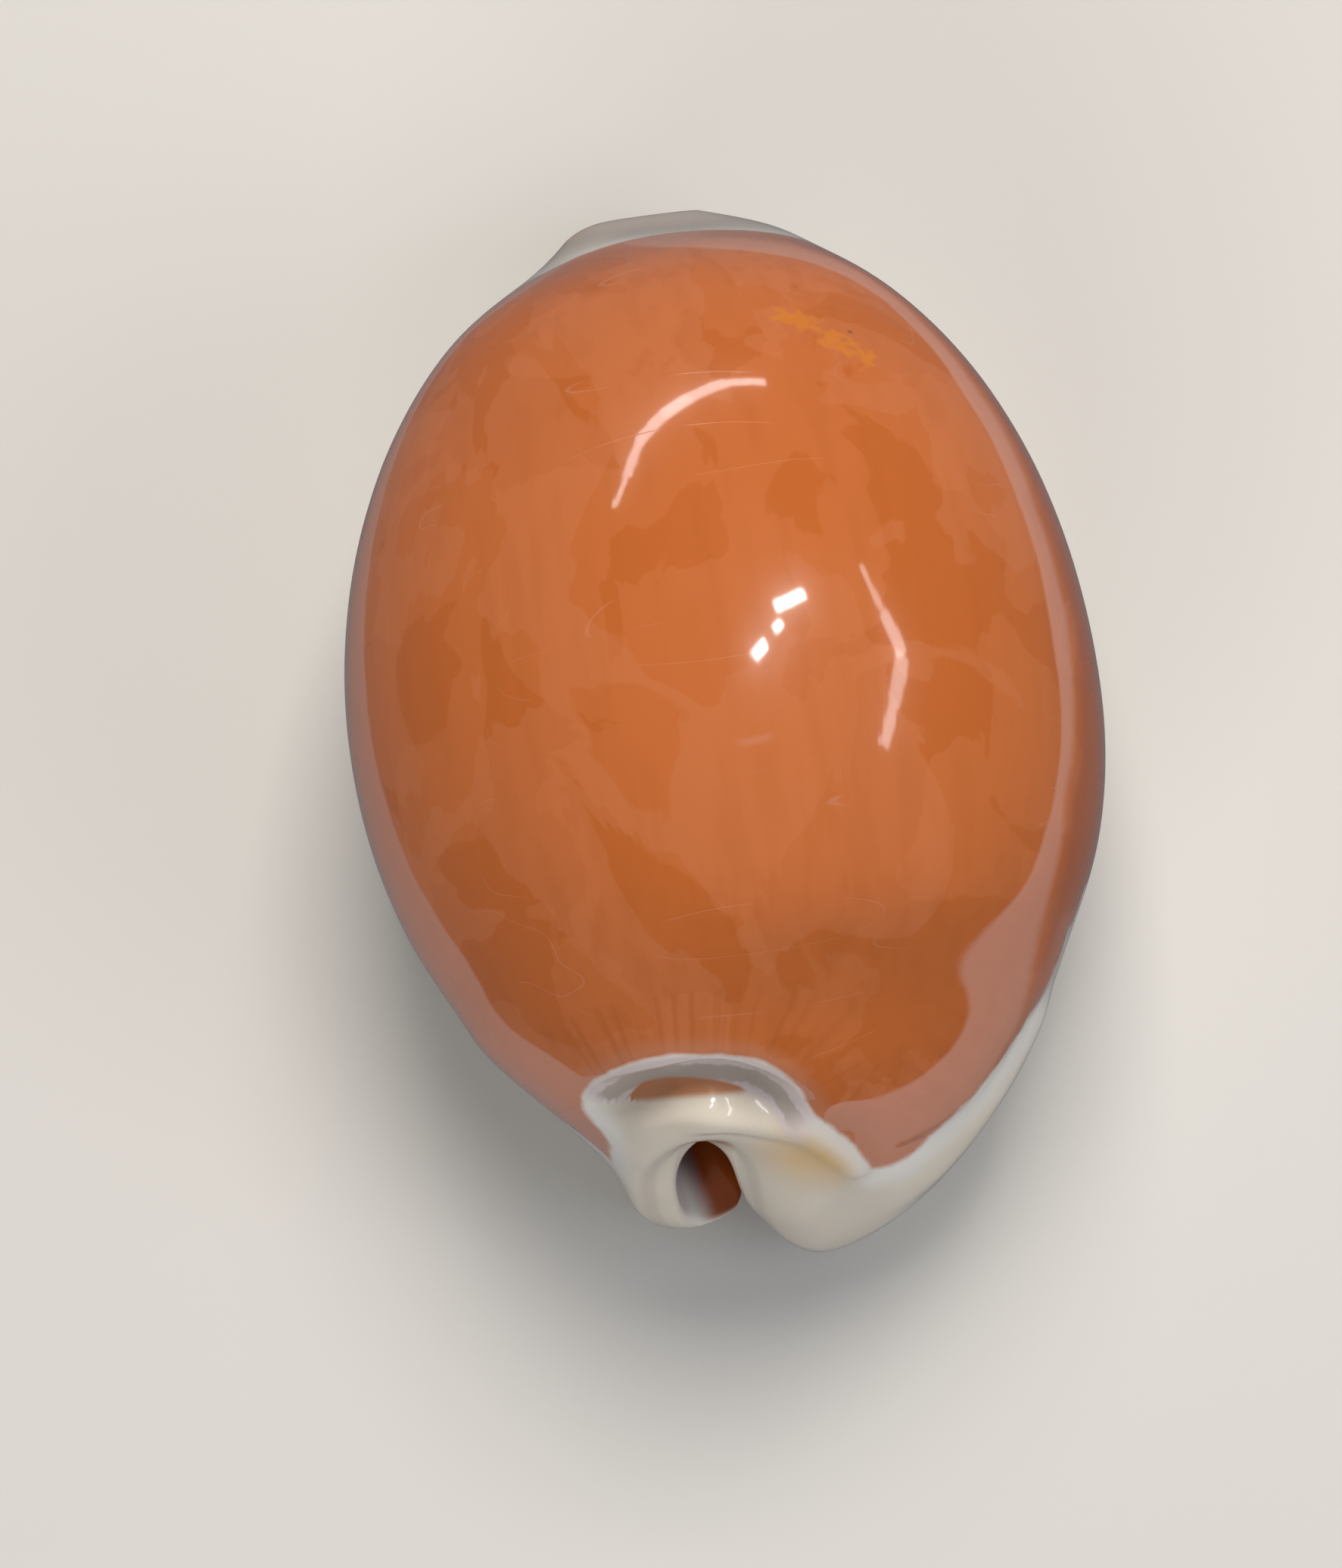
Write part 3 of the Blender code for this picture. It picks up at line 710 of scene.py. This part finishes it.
PIT_AND_LIP_LAYERS = (
    # Spire pit, from its rim inwards: lilac-white rim, grey band with ragged edges, russet floor
    ("lilac", 1.0, ("pit_depth", -0.35, 0.25), ("pit_depth", 3.4, 2.2),
     ("pit_along", 0.13, 0.18), ("pit_along", 0.56, 0.50)),
    ("slate_and_groove_shade", 1.0, ("torn_depth", 0.75, 1.0), ("torn_depth", 2.3, 2.0),
     ("pit_along", 0.16, 0.19), ("pit_along", 0.53, 0.48)),
    ("russet", 1.0, ("floor_top", 1.75, 2.05), ("floor_foot", 4.0, 3.2)),
    # Teeth with orange crests, pale furrows
    ("tooth", 0.85, ("tooth", 0.45, 0.95)),
    # Inside a bluish-white lining, white over the left lobe and russet up in the notch
    ("inside", 1.0, ("inside", 0.55, 1.0)),
    ("milk", "lobe", ("inside", 0.2, 0.6)),
    ("notch", "notch_wall"),
)
RIPPLE = 1.2                # height of the swells, next to which the lines and scratches are
GROWTH_RELIEF = 0.5
SCRATCH_RELIEF = -0.6
RELIEF_HEIGHT = 0.00002     # metres
RELIEF_STRENGTH = 0.35
GLOSS = 0.06                # roughness of the polished enamel
SCRATCH_ROUGHNESS = 0.2
# Aragonite has an IOR of about 1.5 to 1.7; thin light scatter stands for its glow in depth
ENAMEL = {
    "IOR": 1.5,
    "Specular IOR Level": 0.36,
    "Coat Weight": 0.3,
    "Coat Roughness": 0.24,
    "Subsurface Weight": 0.12,
    "Subsurface Radius": (1.0, 0.5, 0.3),
    "Subsurface Scale": 0.0015,
}
ZONES = (
    "orange", "pit_depth", "pit_along", "streak", "steepness", "above_foot", "front_tip",
    "shoulder", "warmth", "notch_gap", "notch_wall", "lobe", "tooth", "inside",
)


def strength_within(tree, measures, strength, limits):
    """The strength where every measure is past its limit, fading to 0 before it."""
    strength = measures.get(strength, strength)
    for measure, start, full in limits:
        share = add_node(tree, "ShaderNodeMapRange", {0: measures[measure], 1: start, 2: full},
                         interpolation_type="SMOOTHSTEP")
        strength = add_node(tree, "ShaderNodeMath", {0: strength, 1: share}, operation="MULTIPLY")
    return strength


def laid_over(tree, measures, below, layers):
    """The colour that shows when each layer in turn lies over what is below."""
    for above, strength, *limits in layers:
        amount = strength_within(tree, measures, strength, limits)
        values = {0: amount, 6: below, 7: above}
        below = add_node(tree, "ShaderNodeMix", values, output=2, data_type="RGBA")
    return below


def shell_measures(tree):
    """Everything that the layers go by: the zones of the shell, the noise and what follows from
    them, each under its name."""
    place = add_node(tree, "ShaderNodeTexCoord", output="Object")
    measures = {}
    for name in ZONES:
        measures[name] = add_node(tree, "ShaderNodeAttribute", output="Fac", attribute_name=name)
    for name, (scale, detail, stretch, turn, roughness, twist) in PATTERNS.items():
        spot = add_node(
            tree, "ShaderNodeMapping",
            {"Vector": place, "Scale": stretch, "Rotation": (0, 0, turn)})
        measures[name] = add_node(tree, "ShaderNodeTexNoise", {
            "Vector": spot, "Scale": scale, "Detail": detail, "Roughness": roughness,
            "Distortion": twist})
    round_edge = add_node(
        tree, "ShaderNodeMath", {0: measures["pit_along"], 1: CREASES}, operation="MULTIPLY")
    around = add_node(tree, "ShaderNodeCombineXYZ", {"X": round_edge})
    measures["crease"] = add_node(
        tree, "ShaderNodeTexNoise", {"Vector": around, "Scale": 1.0, "Detail": 2.0})
    grit = add_node(
        tree, "ShaderNodeTexVoronoi", {"Vector": place, "Scale": GRIT_PER_METRE}, "Distance")
    measures["grit"] = grit
    measures["grit_pick"] = add_node(
        tree, "ShaderNodeSeparateColor", {"Color": grit.node.outputs["Color"]})
    for name, operation, first, second in WORKED_OUT:
        values = {0: measures.get(first, first), 1: measures.get(second, second)}
        measures[name] = add_node(tree, "ShaderNodeMath", values, operation=operation)
    for name, measure, noise, swing in WANDERING:
        shifted = add_node(
            tree, "ShaderNodeMath", {0: measures[measure], 1: swing}, operation="SUBTRACT")
        measures[name] = add_node(
            tree, "ShaderNodeMath", {0: measures[noise], 1: 2 * swing, 2: shifted},
            operation="MULTIPLY_ADD")
    measures["at_tip"] = strength_within(tree, measures, 1.0, [("front_tip", 41.0, 44.5)])
    return measures


def shell_enamel(colours):
    """Aragonite laid down and polished by the living mantle. The eye sees a hard, wet-looking
    gloss with mirror-sharp reflections over colour that lies a little below the surface."""
    material = bpy.data.materials.new("mantle_polished_aragonite")
    material.use_nodes = True
    tree = material.node_tree
    shader = tree.nodes["Principled BSDF"]
    measures = shell_measures(tree)
    rgba = {name: (*getattr(colours, name), 1) for name in colours.__annotations__}

    def coloured(layers):
        return [(rgba[name], *rest) for name, *rest in layers]

    back = laid_over(tree, measures, rgba["back_deep"], coloured(BACK_LAYERS))
    callus = laid_over(tree, measures, rgba["cream"], coloured(CALLUS_LAYERS))
    colour = laid_over(tree, measures, callus, [(back, 1.0, ORANGE_BEGINS)])
    colour = laid_over(tree, measures, colour, coloured(PIT_AND_LIP_LAYERS))
    tree.links.new(colour, shader.inputs["Base Color"])

    height = add_node(
        tree, "ShaderNodeMath", {0: measures["ripple"], 1: RIPPLE}, operation="MULTIPLY")
    for relief, limits in ((GROWTH_RELIEF, [GROWTH_LINES]), (SCRATCH_RELIEF, SCRATCHES)):
        relief = strength_within(tree, measures, relief, limits)
        height = add_node(tree, "ShaderNodeMath", {0: relief, 1: height}, operation="ADD")
    bump = add_node(
        tree, "ShaderNodeBump",
        {"Height": height, "Strength": RELIEF_STRENGTH, "Distance": RELIEF_HEIGHT})
    tree.links.new(bump, shader.inputs["Normal"])
    scratched = strength_within(tree, measures, SCRATCH_ROUGHNESS, SCRATCHES)
    roughness = add_node(tree, "ShaderNodeMath", {0: GLOSS, 1: scratched}, operation="ADD")
    tree.links.new(roughness, shader.inputs["Roughness"])
    for name, value in ENAMEL.items():
        shader.inputs[name].default_value = value
    return material


def grid_piece(name, numbers, points, zones):
    """One sheet: a flat grid primitive whose points are moved to their place on the shell."""
    rows, columns = numbers.shape
    bpy.ops.object.select_all(action="DESELECT")
    bpy.ops.mesh.primitive_grid_add(x_subdivisions=columns - 1, y_subdivisions=rows - 1, size=1)
    piece = bpy.context.object
    piece.name = name
    mesh = piece.data
    flat = np.empty(len(mesh.vertices) * 3)
    mesh.vertices.foreach_get("co", flat)
    flat = flat.reshape(-1, 3) + 0.5
    row = np.rint(flat[:, 1] * (rows - 1)).astype(int)
    column = np.rint(flat[:, 0] * (columns - 1)).astype(int)
    which = numbers[row, column]
    mesh.vertices.foreach_set("co", (points[which] * MM).ravel())
    for zone, value in zones.items():
        mesh.attributes.new(zone, "FLOAT", "POINT").data.foreach_set("value", value[which])
    mesh.update()
    return piece


class COWRIE_OT_shell(bpy.types.Operator):
    """Model the whole shell as one closed piece: back, base, teeth, canals and lining"""

    bl_idname = "cowrie.shell"
    bl_label = "Shell"

    def execute(self, context):
        points, grids, zones = shell_sheets()
        names = ("back", "lining", "lip")
        pieces = [grid_piece(name, numbers, points, zones) for name, numbers in zip(names, grids)]
        bpy.ops.object.select_all(action="DESELECT")
        for piece in pieces:
            piece.select_set(True)
        context.view_layer.objects.active = pieces[0]
        bpy.ops.object.join()
        shell = context.object
        shell.name = "golden_cowrie"
        bpy.ops.object.mode_set(mode="EDIT")
        bpy.ops.mesh.select_all(action="SELECT")
        bpy.ops.mesh.remove_doubles(threshold=1e-6)
        bpy.ops.mesh.normals_make_consistent(inside=False)
        bpy.ops.object.mode_set(mode="OBJECT")
        bpy.ops.object.shade_smooth()
        shell.data.materials.clear()
        shell.data.materials.append(shell_enamel(context.scene.cowrie_colours))
        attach(shell, "root")
        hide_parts(NODE)
        return {"FINISHED"}


CARD_COLOUR = "#D8D6D2"
CARD_ROUGHNESS = 0.9


def floor_material():
    """Matt white card, so that the floor stays pale and even under the lights."""
    material = bpy.data.materials.new("matt_white_card")
    material.use_nodes = True
    shader = material.node_tree.nodes["Principled BSDF"]
    shader.inputs["Base Color"].default_value = (*srgb(CARD_COLOUR), 1)
    shader.inputs["Roughness"].default_value = CARD_ROUGHNESS
    return material


# Soft lights: name, place, what it points at, size (m), power (W) and colour
SOFT_LIGHTS = (
    ("key", (0.12, 0.48, 0.85), (0, 0, 0.03), (0.5, 0.5), 8.2, "#FFF8F0"),
    ("fill", (0.75, -0.35, 0.55), (0, 0, 0.03), (0.6, 0.6), 2.2, "#F2F6FF"),
    ("rear_fill", (-0.35, -0.75, 0.5), (0, 0, 0.02), (0.6, 0.5), 2.8, "#FFFFFF"),
)
AIR_COLOUR = "#C9CDD2"
AIR_STRENGTH = 0.28
FLOOR_SIZE = 6

# Lamps as seen mirrored in the back: for each, the two ends of its image (mm) with the way the
# surface faces there, its width (m) and its power (W)
LAMP_IMAGES = (
    ((5.2, 0.4, 52.5), (0.17, 0.01, 0.98), (7.7, 1.6, 51.9), (0.25, 0.03, 0.97), 0.024, 0.42),
    ((5.0, -1.2, 52.5), (0.16, -0.03, 0.98), (5.4, -0.7, 52.5), (0.18, -0.02, 0.98), 0.016, 0.12),
    ((2.6, -3.2, 52.7), (0.10, -0.07, 0.99), (3.9, -2.3, 52.6), (0.14, -0.05, 0.99), 0.022, 0.3),
)
LEFT_ARC = (
    ((-6.9, 10.9, 50.8), (-0.20, 0.27, 0.94)), ((-5.6, 13.7, 50.2), (-0.16, 0.33, 0.93)),
    ((-4.2, 16.6, 49.2), (-0.12, 0.40, 0.91)), ((-1.8, 18.7, 48.5), (-0.05, 0.45, 0.89)),
    ((0.4, 20.4, 47.6), (0.02, 0.48, 0.88)), ((3.7, 21.2, 46.9), (0.12, 0.50, 0.86)),
    ((6.9, 20.8, 46.5), (0.22, 0.49, 0.85)),
)
RIGHT_ARC = (
    ((12.6, 3.6, 50.1), (0.40, 0.08, 0.91)), ((13.8, -0.4, 49.7), (0.44, -0.01, 0.90)),
    ((14.9, -4.4, 48.9), (0.47, -0.08, 0.88)), ((13.6, -7.9, 49.1), (0.43, -0.16, 0.89)),
    ((12.1, -11.5, 49.0), (0.39, -0.23, 0.89)),
)
ARCS = (("left", LEFT_ARC, 0.03), ("right", RIGHT_ARC, 0.036))     # each with its full width (m)
ARC_POWER = 0.085
LAMP_DISTANCE = 0.5
LAMP_AIM = Vector((0, 0, 0.05))

# The photograph: millimetres per pixel at the shell, its width and middle pixel, and the pixel
# in it of a point of the shell, in the millimetres of the guide rows before they are centred
PHOTO_SCALE = 0.0651
PHOTO_WIDTH = 1773
PHOTO_MIDDLE = (886.5, 1036)
SHELL_PIXEL = (959, 930)
SHELL_POINT = Vector((0, 0, 20))
GUIDE_TO_SHELL = Vector((0.263, -0.607, 0.829))
SENSOR_WIDTH = 36           # millimetres
NEAREST = 0.01              # metres from which the camera draws


def turned(place, side, up, back):
    """A place in the scene together with the way that a lamp or a camera is turned there."""
    return Matrix.Translation(place) @ Matrix((side, up, back)).transposed().to_4x4()


def soft_light(name, place, aim, size, power, colour="#FFFFFF"):
    """A rectangular soft light that lights the shell but isn't mirrored in it."""
    bpy.ops.object.light_add(type="AREA", location=place)
    lamp = bpy.context.object
    lamp.name = name
    lamp.data.shape = "RECTANGLE"
    lamp.data.size, lamp.data.size_y = size
    lamp.data.energy = power
    lamp.data.color = srgb(colour)
    lamp.rotation_euler = (Vector(aim) - Vector(place)).to_track_quat("-Z", "Y").to_euler()
    lamp.visible_glossy = False
    return lamp


def mirrored_place(eye, spot, facing):
    """Where a lamp has to be for the eye to see it mirrored at a spot of the shell."""
    spot = (Vector(spot) + GUIDE_TO_SHELL) * MM
    facing = Vector(facing).normalized()
    view = (eye - spot).normalized()
    return spot + (2 * facing.dot(view) * facing - view) * LAMP_DISTANCE


def mirrored_lamp(name, eye, first, first_facing, last, last_facing, width, power):
    """A lamp whose image in the shell runs from the first spot to the last one."""
    start = mirrored_place(eye, first, first_facing)
    end = mirrored_place(eye, last, last_facing)
    middle = (start + end) / 2
    lamp = soft_light(name, middle, LAMP_AIM, (width, (end - start).length), power)
    back = (middle - LAMP_AIM).normalized()
    along = (end - start).normalized()
    along = (along - along.dot(back) * back).normalized()
    lamp.matrix_world = turned(middle, along.cross(back), along, back)
    lamp.visible_glossy = True
    lamp.visible_diffuse = False


def mirrored_lamps(eye):
    """The three small lamps and the two arcs, which narrow towards their ends."""
    for k, image in enumerate(LAMP_IMAGES):
        mirrored_lamp(f"small_lamp_{k}", eye, *image)
    for name, arc, width in ARCS:
        for k in range(len(arc) - 1):
            swell = math.sin(math.pi * (k + 0.8) / (len(arc) + 0.2))
            ends = (*arc[k], *arc[k + 1])
            mirrored_lamp(f"{name}_arc_{k}", eye, *ends, width * swell, ARC_POWER * swell)


def photo_camera(scene, sizes):
    """Camera at the photograph's angle, aimed so that the shell falls where it does there."""
    height, roll = sizes.camera_height, sizes.camera_roll
    toward = Vector((0, -math.cos(height), math.sin(height)))
    up = Vector((0, math.sin(height), math.cos(height)))
    right = Vector((1, 0, 0))
    across = right * math.cos(roll) - up * math.sin(roll)
    upward = right * math.sin(roll) + up * math.cos(roll)
    target = (SHELL_POINT + GUIDE_TO_SHELL) * MM
    place = target + toward * sizes.camera_distance
    aim = target + across * (PHOTO_MIDDLE[0] - SHELL_PIXEL[0]) * PHOTO_SCALE * MM
    aim += upward * (SHELL_PIXEL[1] - PHOTO_MIDDLE[1]) * PHOTO_SCALE * MM
    back = (place - aim).normalized()
    side = upward.cross(back).normalized()
    bpy.ops.object.camera_add(location=place)
    camera = bpy.context.object
    camera.name = "photo_camera"
    camera.matrix_world = turned(place, side, back.cross(side), back)
    camera.data.sensor_fit = "HORIZONTAL"
    camera.data.sensor_width = SENSOR_WIDTH
    camera.data.lens = SENSOR_WIDTH * (sizes.camera_distance / MM) / (PHOTO_WIDTH * PHOTO_SCALE)
    camera.data.clip_start = NEAREST
    scene.camera = camera
    return camera


class COWRIE_OT_stage(bpy.types.Operator):
    """Set the pale floor, the soft lights and the camera"""

    bl_idname = "cowrie.stage"
    bl_label = "Stage"

    def execute(self, context):
        scene = context.scene
        sizes = scene.cowrie_sizes
        bpy.ops.object.select_all(action="DESELECT")
        bpy.ops.mesh.primitive_plane_add(size=FLOOR_SIZE, location=(0, 0, sizes.rest_line))
        floor = context.object
        floor.name = "studio_floor"
        floor.data.materials.append(floor_material())
        # The shell doesn't mirror the floor, so its flanks keep their deep colour
        floor.visible_glossy = False
        for light in SOFT_LIGHTS:
            soft_light(*light)
        world = bpy.data.worlds.new("studio_air")
        world.use_nodes = True
        air = world.node_tree.nodes["Background"]
        air.inputs["Color"].default_value = (*srgb(AIR_COLOUR), 1)
        air.inputs["Strength"].default_value = AIR_STRENGTH
        scene.world = world
        scene.view_settings.view_transform = "Standard"
        camera = photo_camera(scene, sizes)
        mirrored_lamps(camera.matrix_world.translation)
        return {"FINISHED"}


class COWRIE_PT_panel(bpy.types.Panel):
    """Sizes, colours and one button for each piece"""

    bl_idname = "COWRIE_PT_panel"
    bl_label = "Golden cowrie"
    bl_space_type = "VIEW_3D"
    bl_region_type = "UI"
    bl_category = "Cowrie"

    def draw(self, context):
        for group in (context.scene.cowrie_sizes, context.scene.cowrie_colours):
            box = self.layout.box()
            for name in group.__annotations__:
                box.prop(group, name)
        for operator in (COWRIE_OT_shell, COWRIE_OT_stage):
            self.layout.operator(operator.bl_idname)


CLASSES = (CowrieSizes, CowrieColours, COWRIE_OT_shell, COWRIE_OT_stage, COWRIE_PT_panel)


def register():
    for item in CLASSES:
        bpy.utils.register_class(item)
    bpy.types.Scene.cowrie_sizes = bpy.props.PointerProperty(type=CowrieSizes)
    bpy.types.Scene.cowrie_colours = bpy.props.PointerProperty(type=CowrieColours)


def unregister():
    del bpy.types.Scene.cowrie_colours
    del bpy.types.Scene.cowrie_sizes
    for item in reversed(CLASSES):
        bpy.utils.unregister_class(item)


def main():
    register()
    bpy.ops.cowrie.shell()
    bpy.ops.cowrie.stage()


if __name__ == "__main__":
    main()
